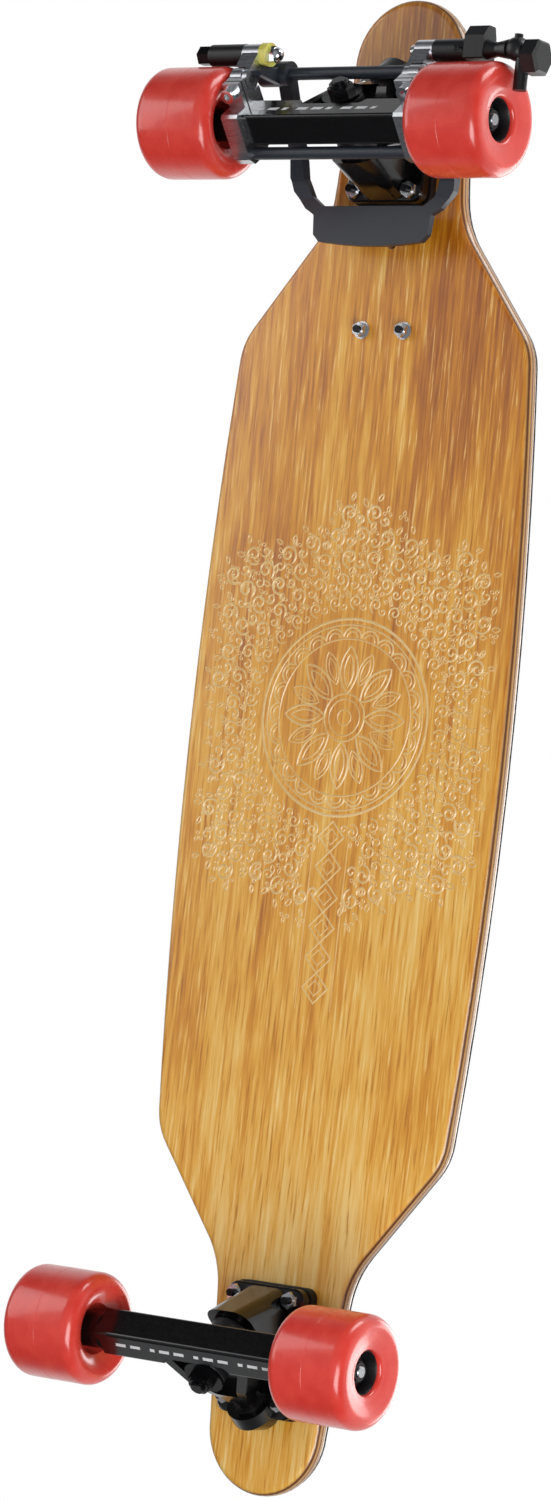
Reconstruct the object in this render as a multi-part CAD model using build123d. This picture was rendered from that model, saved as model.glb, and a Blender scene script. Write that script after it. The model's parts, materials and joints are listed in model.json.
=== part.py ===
from build123d import *
import math
import os

# Cambered longboard with a foot brake on its rear truck, in millimetres.
# +X forward, +Y left, +Z up. The ground is z = 0 and the origin is midway between the axles.
# A truck is drawn round its own axle: x is outboard, u runs down the kingpin, w up the steering axis.

wheelbase = 753.0
wheel_radius = 35.0
wheel_width = 55.0
wheel_middle = 100.0       # from the board's middle plane to the middle of a wheel
wheel_lip = 8.0
hub_mouth_radius = 13.5

deck_length = 940.0
deck_half_width = 119.8
deck_thickness = 11.5
belly_height = 118.5       # underside of the deck at mid length
camber_radius = 14500.0
shoulder_x = 252.0
shoulder_half_width = 109.4
neck_x = 329.0
neck_half_width = 50.1
tip_radius = 42.0
shoulder_round = 40.0
neck_round = 60.0
rim_round = 4.5
grip_thickness = 0.8
grip_inset = 1.5

plate_length = 81.0
plate_width = 57.0
plate_shift = 3.0          # middle of the baseplate, outboard of the axle
plate_low = 99.8
plate_height = 8.5
bolt_shift = 1.5
bolt_pitch_x = 63.5
bolt_pitch_y = 41.3
bolt_radius = 2.4
bolt_clearance = 0.25
bolt_tip = 90.5
lock_nut_flats = 9.5
lock_nut_height = 6.3

kingpin_slope = 40.0       # kingpin below the deck plane, in degrees
kingpin_w = 19.2
kingpin_radius = 4.75
kingpin_root = -43.0
seat_u = -31.0             # kingpin seat on the baseplate tower
bushing_radius = 12.5
bushing_washer_radius = 13.0
bushing_washer = 2.0
ring_back = -16.0          # hanger ring between the two bushings
ring_front = -7.0
ring_hole = 6.8
road_bushing_end = 7.5
kingpin_nut_flats = 14.3
kingpin_nut_height = 7.5
steer_u = -11.5            # steering axis, through the pivot nose
boss_radius = 14.5
boss_face_w = 68.2
cup_radius = 9.0
cup_wall = 2.6
cup_start_w = 66.7
cup_end_w = 76.8
nose_clearance = 0.05

beam_half_u = 10.5
beam_half_w = 10.8
beam_end = 70.0
hanger_end = 87.0
hanger_end_radius = 11.5
yoke_front = 4.0
yoke_base_half = 38.0
yoke_base_w = 5.0
yoke_tip_half = 7.5
yoke_tip_w = 61.0

axle_radius = 4.0
axle_end = 120.0
bearing_radius = 11.0
bearing_width = 7.0
inner_ring_radius = 6.0
ring_gap = 0.4
spacer_length = 10.0
speed_washer = 1.0
axle_nut_flats = 13.0
axle_nut_height = 6.0

bracket_inner = 58.0       # brake brackets, from the board's middle plane
bracket_outer = 70.0
pivot_u = 24.5
pivot_w = 11.2
pivot_radius = 3.0
running_fit = 0.05
rocker_gap = 0.35
eye_x = 43.4
eye_z = 38.2
eye_radius = 6.8
eye_bolt_radius = 3.0
pad_radius = 7.0
tube_u = -17.0
tube_w = -8.5
tube_radius = 4.0
rod_x = 35.0
rod_z = 56.0
rod_radius = 4.0
rod_hub_radius = 8.0
lever_top = 94.0           # push plate of the brake lever
lever_plate = 4.6
lever_arm_inner = 48.5
lever_arm_outer = 57.8

pin_x = -315.5
pin_radius = 3.0
pin_hole_radius = 3.6
pin_start = 2.8            # free travel between lever and pin
pin_head_radius = 6.4
spring_radius = 5.0
spring_wire = 0.6
spring_seat_depth = 5.0
hinge_bolt_x = -260.4
hinge_bolt_half = 15.8
hinge_bolt_radius = 2.4
hinge_x = -250.0
hinge_rise = 10.5
hinge_pin_radius = 2.5
pedal_length = 86.0
pedal_half_width = 30.0
pedal_thickness = 4.0
pedal_tilt = 6.5

os.makedirs("parts", exist_ok=True)

axle_x = wheelbase / 2
axle_z = wheel_radius
along_x = math.cos(math.radians(kingpin_slope))
along_z = math.sin(math.radians(kingpin_slope))
down_u = Vector(along_x, 0, -along_z)
up_w = Vector(along_z, 0, along_x)
grow = (Align.CENTER, Align.CENTER, Align.MIN)


def uw(u, w, y=0.0):
    return Vector(u * along_x + w * along_z, y, axle_z + w * along_x - u * along_z)


def bar(start, end, radius):
    start = Vector(*start)
    span = Vector(*end) - start
    return Plane(origin=start, z_dir=span) * Cylinder(radius, span.length, align=grow)


def tube(start, end, outer, inner):
    return bar(start, end, outer) - bar(start, end, inner)


def cone(start, end, start_radius, end_radius):
    start = Vector(*start)
    span = Vector(*end) - start
    return Plane(origin=start, z_dir=span) * Cone(start_radius, end_radius, span.length, align=grow)


def hexagon(start, end, flats):
    start = Vector(*start)
    span = Vector(*end) - start
    return extrude(Plane(origin=start, z_dir=span) * RegularPolygon(flats / math.sqrt(3), 6), span.length)


def block(x0, x1, y0, y1, z0, z1):
    return Pos((x0 + x1) / 2, (y0 + y1) / 2, (z0 + z1) / 2) * Box(x1 - x0, y1 - y0, z1 - z0)


def outline(points, rounding):
    face = make_face(Polyline(*points, close=True))
    return fillet(face.vertices(), rounding) if rounding else face


def uw_slab(points, y0, y1, rounding=0.0):
    plane = Plane(origin=(0, y1, axle_z), x_dir=down_u, z_dir=(0, -1, 0))
    return extrude(plane * outline(points, rounding), y1 - y0)


def side_slab(points, y0, y1, rounding=0.0):
    plane = Plane(origin=(0, y1, 0), x_dir=(1, 0, 0), z_dir=(0, -1, 0))
    return extrude(plane * outline(points, rounding), y1 - y0)


def face_slab(points, u0, u1, rounding=0.0):
    plane = Plane(origin=uw(u0, 0), x_dir=(0, 1, 0), z_dir=down_u)
    return extrude(plane * outline(points, rounding), u1 - u0)


def front(shape):
    return Pos(axle_x, 0, 0) * shape


def rear(shape):
    return Pos(-axle_x, 0, 0) * Rot(0, 0, 180) * shape


def rear_left(shape):
    return rear(mirror(shape, Plane.XZ))


def both_trucks(*shapes):
    return [place(shape) for place in (front, rear) for shape in shapes]


def both_sides(*shapes):
    return [place(shape) for place in (rear_left, rear) for shape in shapes]


def save(name, *shapes):
    solids = [solid for shape in shapes for solid in shape.solids()]
    whole = solids[0] if len(solids) == 1 else Compound(children=solids)
    whole.label = name
    export_step(whole, f"parts/{name}.step")


def cambered(height, x):
    return height - x ** 2 / (2 * camber_radius)


# deck, grip tape and risers
tip_x = deck_length / 2 - tip_radius
deck_top = belly_height + deck_thickness


def plan_face():
    edges = []
    for side in (-1, 1):
        shoulder_y = side * shoulder_half_width
        neck_y = side * neck_half_width
        middle = (0, side * deck_half_width)
        edges.append(ThreePointArc((-shoulder_x, shoulder_y), middle, (shoulder_x, shoulder_y)))
        for end in (-1, 1):
            edges.append(Line((end * shoulder_x, shoulder_y), (end * neck_x, neck_y)))
            edges.append(Line((end * neck_x, neck_y), (end * tip_x, side * tip_radius)))
    for end in (-1, 1):
        edges.append(ThreePointArc((end * tip_x, -tip_radius), (end * deck_length / 2, 0), (end * tip_x, tip_radius)))
    face = make_face(edges)
    necks = [v for v in face.vertices() if abs(abs(v.X) - neck_x) < 0.1]
    face = fillet(necks, neck_round)
    shoulders = [v for v in face.vertices() if abs(abs(v.X) - shoulder_x) < 0.1]
    return fillet(shoulders, shoulder_round)


def curved_slab(low, high):
    reach = deck_length / 2 + 20
    drop = reach ** 2 / (2 * camber_radius)
    edges = [
        ThreePointArc((-reach, low - drop), (0, low), (reach, low - drop)),
        Line((reach, low - drop), (reach, high - drop)),
        ThreePointArc((reach, high - drop), (0, high), (-reach, high - drop)),
        Line((-reach, high - drop), (-reach, low - drop)),
    ]
    half = deck_half_width + 20
    plane = Plane(origin=(0, half, 0), x_dir=(1, 0, 0), z_dir=(0, -1, 0))
    return extrude(plane * make_face(edges), 2 * half)


plan = extrude(plan_face(), deck_top + 20)
blank = plan & curved_slab(belly_height, deck_top)
deck = fillet(blank.faces().sort_by(Axis.Z)[0].edges(), rim_round)
grip_plan = extrude(offset(plan_face(), -grip_inset), deck_top + 20)
grip = grip_plan & curved_slab(deck_top, deck_top + grip_thickness)

drill_radius = bolt_radius + bolt_clearance
head_radius = 4.6
head_depth = 2.8
bolt_spots = [(bolt_shift + sx * bolt_pitch_x / 2, sy * bolt_pitch_y / 2) for sx in (-1, 1) for sy in (-1, 1)]
for x, y in bolt_spots:
    for place in (front, rear):
        spot = (place(Pos(x, y, 0) * Sphere(1))).center()
        top = cambered(deck_top, spot.X) + grip_thickness
        sink = bar((spot.X, spot.Y, 90), (spot.X, spot.Y, 150), drill_radius)
        sink += cone((spot.X, spot.Y, top - head_depth - 0.6), (spot.X, spot.Y, top + 0.2), drill_radius,
                     head_radius + 0.5)
        deck -= sink
        grip -= sink

pin_deck_top = cambered(deck_top, pin_x)
spring_seat = pin_deck_top - spring_seat_depth
spring_room = spring_radius + spring_wire + 1.4
pin_hole = bar((pin_x, 0, 90), (pin_x, 0, 160), pin_hole_radius)
pin_hole += bar((pin_x, 0, spring_seat), (pin_x, 0, 160), spring_room)
deck -= pin_hole
grip -= pin_hole
for side in (-1, 1):
    y = side * hinge_bolt_half
    hole = bar((hinge_bolt_x, y, 90), (hinge_bolt_x, y, 160), hinge_bolt_radius + bolt_clearance)
    deck -= hole
    grip -= hole
save("deck", deck)
save("grip_tape", grip)

plate_top = plate_low + plate_height


def riser():
    pad = block(plate_shift - plate_length / 2 - 0.8, plate_shift + plate_length / 2 + 0.8, -plate_width / 2 - 0.8,
                plate_width / 2 + 0.8, plate_top, plate_top + 9)
    pad = fillet(pad.edges().filter_by(Axis.Z), 7)
    for x, y in bolt_spots:
        pad -= bar((x, y, plate_top - 1), (x, y, plate_top + 20), drill_radius)
    return pad


riser_room = curved_slab(belly_height, belly_height + 40)
save("riser_pads", *[pad - riser_room for pad in both_trucks(riser())])


# trucks
def baseplate():
    plate = block(plate_shift - plate_length / 2, plate_shift + plate_length / 2, -plate_width / 2, plate_width / 2,
                  plate_low, plate_top)
    plate = fillet(plate.edges().filter_by(Axis.Z), 7)
    plate = chamfer(plate.faces().sort_by(Axis.Z)[0].edges(), 1.2)
    seat_plane = Plane(origin=uw(seat_u, kingpin_w), x_dir=(0, 1, 0), z_dir=-down_u)
    seat = (seat_plane * RectangleRounded(33, 31, 11)).faces()[0]
    foot_plane = Plane(origin=(-14, 0, plate_low + 0.6), x_dir=(0, 1, 0), z_dir=(0, 0, 1))
    foot = (foot_plane * RectangleRounded(38, 45, 11)).faces()[0]
    tower = loft([seat, foot])
    boss = bar(uw(steer_u, boss_face_w), uw(steer_u, boss_face_w + 32), boss_radius)
    boss &= bar((36.5, 0, 60), (36.5, 0, plate_top), boss_radius + 1.5)
    body = plate + tower + boss
    body -= bar(uw(seat_u + 2, kingpin_w), uw(kingpin_root, kingpin_w), kingpin_radius)
    body -= bar(uw(steer_u, boss_face_w - 4), uw(steer_u, cup_end_w), cup_radius)
    for x, y in bolt_spots:
        body -= bar((x, y, 60), (x, y, plate_top + 1), drill_radius)
        body -= bar((x, y, 60), (x, y, plate_low), lock_nut_flats / 2 + 1.3)
    return body


def deck_bolt(spot):
    top = cambered(deck_top, spot.X) + grip_thickness - 0.4
    shank = bar((spot.X, spot.Y, bolt_tip), (spot.X, spot.Y, top - 1), bolt_radius)
    head = cone((spot.X, spot.Y, top - head_depth), (spot.X, spot.Y, top), bolt_radius, head_radius)
    return shank + head - hexagon((spot.X, spot.Y, top - 1.8), (spot.X, spot.Y, top + 1), 3.2)


def lock_nut(x, y):
    low = plate_low - lock_nut_height
    nut = hexagon((x, y, low + 1.8), (x, y, plate_low), lock_nut_flats)
    nut += bar((x, y, low), (x, y, low + 2), lock_nut_flats / 2 - 0.5)
    return nut - bar((x, y, low - 1), (x, y, plate_low + 1), bolt_radius)


def bushing(start, end):
    body = bar(uw(start, kingpin_w), uw(end, kingpin_w), bushing_radius)
    body = fillet(body.edges().filter_by(GeomType.CIRCLE), 1.2)
    return body - bar(uw(start - 1, kingpin_w), uw(end + 1, kingpin_w), kingpin_radius)


def bushing_washers():
    washers = []
    for start in (seat_u, road_bushing_end):
        washers.append(tube(uw(start, kingpin_w), uw(start + bushing_washer, kingpin_w), bushing_washer_radius,
                            kingpin_radius))
    return washers


def kingpin():
    tip = road_bushing_end + bushing_washer + kingpin_nut_height + 2
    pin = bar(uw(kingpin_root, kingpin_w), uw(tip, kingpin_w), kingpin_radius)
    return chamfer(pin.edges().filter_by(GeomType.CIRCLE), 0.7)


def kingpin_nut():
    start = road_bushing_end + bushing_washer
    end = start + kingpin_nut_height
    nut = hexagon(uw(start, kingpin_w), uw(end - 2, kingpin_w), kingpin_nut_flats)
    nut += bar(uw(start, kingpin_w), uw(end, kingpin_w), kingpin_nut_flats / 2 - 0.7)
    return nut - bar(uw(start - 1, kingpin_w), uw(end + 1, kingpin_w), kingpin_radius)


def pivot_cup():
    cup = bar(uw(steer_u, cup_start_w), uw(steer_u, cup_end_w), cup_radius)
    return cup - bar(uw(steer_u, cup_start_w - 1), uw(steer_u, cup_end_w - cup_wall), cup_radius - cup_wall)


def hanger():
    beam = uw_slab([(-beam_half_u, -beam_half_w), (beam_half_u, -beam_half_w), (beam_half_u, beam_half_w),
                    (-beam_half_u, beam_half_w)], -beam_end, beam_end, 2.0)
    hump = uw_slab([(-beam_half_u - 2, -5), (-beam_half_u + 2, -8), (-beam_half_u + 2, 10), (-beam_half_u - 2, 8)],
                   -27, 27)
    yoke = face_slab([(-yoke_base_half, yoke_base_w), (yoke_base_half, yoke_base_w), (yoke_tip_half, yoke_tip_w),
                      (-yoke_tip_half, yoke_tip_w)], ring_back, yoke_front)
    yoke -= uw_slab([(yoke_front + 0.5, 36), (40, 36), (40, 90), (-4, 90), (-4, yoke_tip_w)], -60, 60)
    pocket = face_slab([(-22, 4.5), (22, 4.5), (26, 12), (8, 48), (-8, 48), (-26, 12)], ring_front, 30, 3.0)
    nose_radius = cup_radius - cup_wall - nose_clearance
    nose = bar(uw(steer_u, yoke_tip_w - 4), uw(steer_u, cup_end_w - cup_wall - 0.4), nose_radius)
    nose += cone(uw(steer_u, yoke_tip_w - 5), uw(steer_u, yoke_tip_w + 4), nose_radius + 3.5, nose_radius)
    body = beam + hump + yoke - pocket + nose
    body -= bar(uw(-60, kingpin_w), uw(40, kingpin_w), ring_hole)
    for side in (-1, 1):
        body += bar((0, side * beam_end, axle_z), (0, side * hanger_end, axle_z), hanger_end_radius)
    return body - bar((0, -150, axle_z), (0, 150, axle_z), axle_radius)


def axle():
    pin = bar((0, -axle_end, axle_z), (0, axle_end, axle_z), axle_radius)
    return chamfer(pin.edges().filter_by(GeomType.CIRCLE), 0.6)


bearing_reach = spacer_length / 2 + bearing_width


def axle_nut(side):
    start = wheel_middle + bearing_reach + speed_washer
    end = start + axle_nut_height
    nut = hexagon((0, side * start, axle_z), (0, side * (end - 1.6), axle_z), axle_nut_flats)
    nut += bar((0, side * start, axle_z), (0, side * end, axle_z), axle_nut_flats / 2 - 0.7)
    return nut - bar((0, side * (start - 1), axle_z), (0, side * (end + 1), axle_z), axle_radius)


def on_axle(side, start, end, radius):
    return tube((0, side * (wheel_middle + start), axle_z), (0, side * (wheel_middle + end), axle_z), radius,
                axle_radius)


def inner_rings(side):
    rings = []
    for start, end in ((-bearing_reach, -spacer_length / 2), (spacer_length / 2, bearing_reach)):
        rings.append(on_axle(side, start, end, inner_ring_radius))
    return rings


def wheel_washers(side):
    washers = []
    for start, end in ((-bearing_reach - speed_washer, -bearing_reach), (bearing_reach, bearing_reach + speed_washer)):
        washers.append(on_axle(side, start, end, inner_ring_radius - 0.1))
    return washers


def wheel(side):
    half = wheel_width / 2
    flat = half - wheel_lip
    face = wheel_radius - wheel_lip
    corner = wheel_lip * math.sqrt(0.5)
    seat = spacer_length / 2
    edges = [
        Line((wheel_radius, -flat), (wheel_radius, flat)),
        ThreePointArc((wheel_radius, flat), (face + corner, flat + corner), (face, half)),
        ThreePointArc((face, half), (21.5, half - 0.9), (hub_mouth_radius + 2, half - 2.9)),
        Line((hub_mouth_radius + 2, half - 2.9), (hub_mouth_radius, half - 4.9)),
        Line((hub_mouth_radius, half - 4.9), (bearing_radius + 1.6, bearing_reach)),
        Line((bearing_radius + 1.6, bearing_reach), (bearing_radius, bearing_reach)),
        Line((bearing_radius, bearing_reach), (bearing_radius, seat)),
        Line((bearing_radius, seat), (8.6, seat)),
        Line((8.6, seat), (8.6, -seat)),
        Line((8.6, -seat), (bearing_radius, -seat)),
        Line((bearing_radius, -seat), (bearing_radius, -bearing_reach)),
        Line((bearing_radius, -bearing_reach), (bearing_radius + 2.2, -bearing_reach)),
        Line((bearing_radius + 2.2, -bearing_reach), (16, 6 - half)),
        Line((16, 6 - half), (22, 1 - half)),
        Line((22, 1 - half), (face, -half)),
        ThreePointArc((face, -half), (face + corner, -flat - corner), (wheel_radius, -flat)),
    ]
    body = revolve(make_face(edges), Axis.Y)
    return body if side > 0 else mirror(body, Plane.XZ)


def outer_rings():
    rings = []
    for start, end in ((-bearing_reach, -spacer_length / 2), (spacer_length / 2, bearing_reach)):
        rings.append(tube((0, start, 0), (0, end, 0), bearing_radius, inner_ring_radius + ring_gap))
    return rings


save("mounting_bolts", *[deck_bolt(place(Pos(x, y, 0) * Sphere(1)).center()) for place in (front, rear)
                         for x, y in bolt_spots])
save("lock_nuts", *both_trucks(*[lock_nut(x, y) for x, y in bolt_spots]))
save("pivot_cups", *both_trucks(pivot_cup()))
save("kingpins", *both_trucks(kingpin()))
save("kingpin_nuts", *both_trucks(kingpin_nut()))
save("bushing_washers", *both_trucks(*bushing_washers()))
for name, place in (("front", front), ("rear", rear)):
    save(f"{name}_baseplate", place(baseplate()))
    save(f"{name}_board_bushing", place(bushing(seat_u + bushing_washer, ring_back)))
    save(f"{name}_road_bushing", place(bushing(ring_front, road_bushing_end)))
    save(f"{name}_hanger", place(hanger()))
    save(f"{name}_axle", place(axle()))
    save(f"{name}_axle_nuts", *[place(axle_nut(side)) for side in (-1, 1)])
    spacers = [on_axle(side, -spacer_length / 2, spacer_length / 2, 5.4) for side in (-1, 1)]
    spacers += [w for side in (-1, 1) for w in wheel_washers(side)]
    save(f"{name}_wheel_spacers", *[place(s) for s in spacers])
    save(f"{name}_bearing_inner_rings", *[place(r) for side in (-1, 1) for r in inner_rings(side)])
    end = 1 if name == "front" else -1
    for hand, side in (("left", 1), ("right", -1)):
        spot = Pos(end * axle_x, side * wheel_middle, axle_z)
        save(f"{name}_{hand}_wheel", spot * wheel(side))
        save(f"{name}_{hand}_bearing_outer_rings", *[spot * r for r in outer_rings()])


# foot brake on the rear truck, drawn for the board's right and mirrored for its left
eye_u = eye_x * along_x - (eye_z - axle_z) * along_z
eye_w = eye_x * along_z + (eye_z - axle_z) * along_x
pivot = uw(pivot_u, pivot_w)
knuckle_inner = bracket_inner + 4.0
screw_y = 65.4
screw_u = 22.5


def across(x, z, y0, y1, radius):
    return bar((x, y0, z), (x, y1, z), radius)


def bracket():
    shell = uw_slab([(-18, -15.2), (11, -15.2), (12.8, -13.4), (12.8, -3.7), (29, -3.7), (29, 8), (22, 16), (-12, 16),
                     (-19, 9), (-23, -4), (-23, -11)], bracket_inner, bracket_outer)
    shell += across(pivot.X, pivot.Z, bracket_inner, bracket_outer, 7.0)
    shell -= uw_slab([(-beam_half_u, -beam_half_w), (beam_half_u, -beam_half_w), (beam_half_u, beam_half_w),
                      (-beam_half_u, beam_half_w)], bracket_inner - 1, bracket_outer + 1, 2.0)
    shell -= across(pivot.X, pivot.Z, bracket_inner - 1, knuckle_inner, 7.3)
    shell -= uw_slab([(pivot_u - 6.9, pivot_w), (pivot_u + 7.3, pivot_w), (pivot_u + 7.3, 40), (pivot_u - 6.9, 40)],
                     bracket_inner - 1, knuckle_inner)
    shell -= uw_slab([(beam_half_u - 1, -0.5), (40, -0.5), (40, 0.7), (beam_half_u - 1, 0.7)], bracket_inner - 1,
                     bracket_outer + 1)
    shell -= bar(uw(screw_u, -10, screw_y), uw(screw_u, 6.4, screw_y), 2.5)
    shell -= across(pivot.X, pivot.Z, bracket_inner - 1, bracket_outer + 1, pivot_radius)
    tube_spot = uw(tube_u, tube_w)
    return shell - across(tube_spot.X, tube_spot.Z, bracket_inner - 1, bracket_inner + 8, tube_radius)


def clamp_screw():
    screw = bar(uw(screw_u, -8, screw_y), uw(screw_u, 6, screw_y), 2.5)
    screw += bar(uw(screw_u, -8.8, screw_y), uw(screw_u, -5.3, screw_y), 4.6)
    return screw - hexagon(uw(screw_u, -9.8, screw_y), uw(screw_u, -6.4, screw_y), 4.0)


def clamp_washers():
    washers = []
    for start, radius in ((-5.3, 5.0), (-4.5, 5.6)):
        washers.append(tube(uw(screw_u, start, screw_y), uw(screw_u, start + 0.8, screw_y), radius, 2.5))
    return washers


def rocker():
    neck = [(pivot_u - 6.2, pivot_w), (pivot_u + 6.2, pivot_w), (eye_u + 6.2, eye_w), (eye_u - 6.2, eye_w)]
    cheek = across(pivot.X, pivot.Z, bracket_inner, knuckle_inner - rocker_gap, 6.4)
    cheek += uw_slab(neck, bracket_inner, knuckle_inner - rocker_gap)
    body = uw_slab(neck, bracket_inner, bracket_outer)
    body -= across(pivot.X, pivot.Z, knuckle_inner - rocker_gap, bracket_outer + 1, 7.6)
    body += cheek + across(eye_x, eye_z, bracket_inner, bracket_outer + 1, eye_radius)
    body -= across(pivot.X, pivot.Z, bracket_inner - 1, bracket_outer + 1, pivot_radius + running_fit)
    return body - across(eye_x, eye_z, bracket_inner - 1, bracket_outer + 2, eye_bolt_radius)


tube_spot = uw(tube_u, tube_w)
save("left_clamp_bracket", rear_left(bracket()))
save("right_clamp_bracket", rear(bracket()))
save("clamp_screws", *both_sides(clamp_screw()))
save("clamp_washers", *both_sides(*clamp_washers()))
save("cross_tube", rear(across(tube_spot.X, tube_spot.Z, -bracket_inner - 8, bracket_inner + 8, tube_radius)))
save("rocker_pivots", *both_sides(across(pivot.X, pivot.Z, bracket_inner, bracket_outer + 0.8, pivot_radius)))
save("left_rocker", rear_left(rocker()))
save("right_rocker", rear(rocker()))


def lever():
    right = [(-42, 38), (-36, 46), (-25, 51), (-15, 49), (rod_x, lever_arm_inner), (rod_x, lever_arm_outer),
             (-15, 58), (-25, 61.6), (-33, 60), (-43.5, 51), (-47.5, 44.2), (-60, 43), (-64.5, 38.5), (-66, 24), (-67, 8)]
    left = [(x, -y) for x, y in reversed(right)]
    top_view = extrude(outline(right + left, 1.5), 200)
    low = lever_top - lever_plate
    profile = [(-80, lever_top), (-35, lever_top), (-26, 92.5), (-15, 86), (rod_x, rod_z + 6), (rod_x, rod_z - 3),
               (-15, 77.5), (-27, 86), (-37, low), (-80, low)]
    body = top_view & side_slab(profile, -90, 90)
    for side in (-1, 1):
        y0, y1 = sorted((side * lever_arm_inner, side * bracket_outer))
        body += across(rod_x, rod_z, y0, y1, rod_hub_radius)
        y0, y1 = sorted((side * 53.5, side * bracket_inner))
        body += side_slab([(rod_x - 7.5, rod_z), (29.2, 31.5), (31.5, 28.5), (34.6, 32.0), (rod_x + 1.2, 46),
                           (rod_x + 7.5, rod_z)], y0, y1)
    return body - across(rod_x, rod_z, -80, 80, rod_radius)


save("brake_lever", rear(lever()))
save("lever_rod", rear(across(rod_x, rod_z, -bracket_outer - 0.6, bracket_outer + 0.6, rod_radius)))

left_pad = tube((eye_x, bracket_outer + 1, eye_z), (eye_x, 96.8, eye_z), pad_radius, eye_bolt_radius)
save("left_brake_pad", rear_left(left_pad))
right_pad = across(eye_x, eye_z, bracket_outer + 1, 94, pad_radius)
right_pad -= block(eye_x - 2, eye_x + 2, 87.5, 94.5, eye_z - 20, eye_z + 20)
save("right_brake_pad", rear(right_pad - across(eye_x, eye_z, 60, 88, eye_bolt_radius)))

left_bolt = across(eye_x, eye_z, 47, 98, eye_bolt_radius)
left_bolt += hexagon((eye_x, 96.8, eye_z), (eye_x, 106, eye_z), 11.0)
save("eye_bolts", rear_left(left_bolt), rear(across(eye_x, eye_z, 54, 87.2, eye_bolt_radius)))
save("nylon_washer", rear_left(tube((eye_x, 53, eye_z), (eye_x, bracket_inner, eye_z), 7.5, eye_bolt_radius)))
cap_nut = hexagon((eye_x, 53, eye_z), (eye_x, 48.4, eye_z), 9.6)
cap_nut += Pos(eye_x, 48.6, eye_z) * Sphere(4.6)
cone_nut = cone((eye_x, bracket_inner, eye_z), (eye_x, 53.2, eye_z), 5.4, 3.6)
save("cap_nuts", rear_left(cap_nut - across(eye_x, eye_z, 47, 70, eye_bolt_radius)),
     rear(cone_nut - across(eye_x, eye_z, 54, 70, eye_bolt_radius)))

arm = side_slab([(eye_x - 6.4, eye_z - 7), (eye_x + 8, eye_z - 7), (58, eye_z - 2), (58, eye_z + 5),
                 (eye_x + 8, eye_z + 7), (eye_x - 6.4, eye_z + 7)], 94, 108, 1.0)
arm += cone((eye_x, 108, eye_z), (eye_x, 114.5, eye_z), 6.4, 4.4)
arm += cone((eye_x, 114.5, eye_z), (eye_x, 122.5, eye_z), 4.4, 6.0)
ball = Pos(eye_x, 128.5, eye_z) * Sphere(7.5)
save("right_brake_arm", rear(arm - ball))
ball_joint = ball + bar((eye_x + 6, 128.5, eye_z), (52.5, 128.5, eye_z), 2.6)
save("arm_ball_joint", rear(ball_joint))
clamp_head = hexagon((eye_x - 5.5, 137, eye_z), (eye_x - 5.5, 148, eye_z), 20.0)
clamp_head = chamfer(clamp_head.faces().sort_by(Axis.Y)[-1].edges(), 1.6)
clamp_head += bar((eye_x - 1, 134.5, eye_z), (eye_x - 1, 138, eye_z), 5.0)
save("arm_clamp_head", rear(clamp_head - ball))
knob = bar((eye_x - 6, 132.8, eye_z), (18, 132.8, eye_z), 4.2)
save("adjuster_knob", rear(knob - ball - across(eye_x - 5.5, eye_z, 136.7, 150, 12.4) - across(eye_x - 1, eye_z, 134.2, 138, 5.1)))

# push pin, its spring and the pedal on top of the deck
hinge_z = cambered(deck_top, hinge_x) + grip_thickness + hinge_rise
tilt = math.radians(pedal_tilt)
pedal_low = 2.2
pin_top = hinge_z + (hinge_x - pin_x) * math.tan(tilt) - pedal_low / math.cos(tilt) - 1.2
push_pin = bar((pin_x, 0, lever_top + pin_start), (pin_x, 0, pin_top), pin_radius)
push_pin = fillet(push_pin.edges().sort_by(Axis.Z)[0], 1.2)
push_pin += bar((pin_x, 0, pin_top - 2.5), (pin_x, 0, pin_top), pin_head_radius)
push_pin = fillet(push_pin.edges().sort_by(Axis.Z)[-1], 1.0)
save("push_pin", push_pin)

spring_low = spring_seat + spring_wire
spring_high = pin_top - 2.5 - spring_wire
coil = Helix(pitch=(spring_high - spring_low) / 5, height=spring_high - spring_low, radius=spring_radius)
wire = sweep(Plane(origin=coil @ 0, z_dir=coil % 0) * Circle(spring_wire), path=coil)
save("pin_spring", Pos(pin_x, 0, spring_low) * wire)

leaf_top = cambered(deck_top, hinge_bolt_x) + grip_thickness + 4.3
ear_outer = pedal_half_width - 3
leaf = block(hinge_bolt_x - 8, hinge_x + 8, -ear_outer, ear_outer, leaf_top - 6, leaf_top)
leaf -= curved_slab(belly_height, deck_top + grip_thickness)
for side in (-1, 1):
    y0, y1 = sorted((side * ear_outer, side * (ear_outer - 4)))
    leaf += side_slab([(hinge_x - 7, leaf_top - 1), (hinge_x + 7, leaf_top - 1), (hinge_x + 4.5, hinge_z + 4),
                       (hinge_x - 4.5, hinge_z + 4)], y0, y1, 1.5)
leaf -= across(hinge_x, hinge_z, -60, 60, hinge_pin_radius)
for side in (-1, 1):
    y = side * hinge_bolt_half
    leaf -= bar((hinge_bolt_x, y, 100), (hinge_bolt_x, y, 160), hinge_bolt_radius + bolt_clearance)
    leaf -= cone((hinge_bolt_x, y, leaf_top - 3), (hinge_bolt_x, y, leaf_top + 0.2), hinge_bolt_radius, 5.2)
save("pedal_bracket", leaf)
save("pedal_hinge_pin", across(hinge_x, hinge_z, -ear_outer - 1.5, ear_outer + 1.5, hinge_pin_radius))

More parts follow.
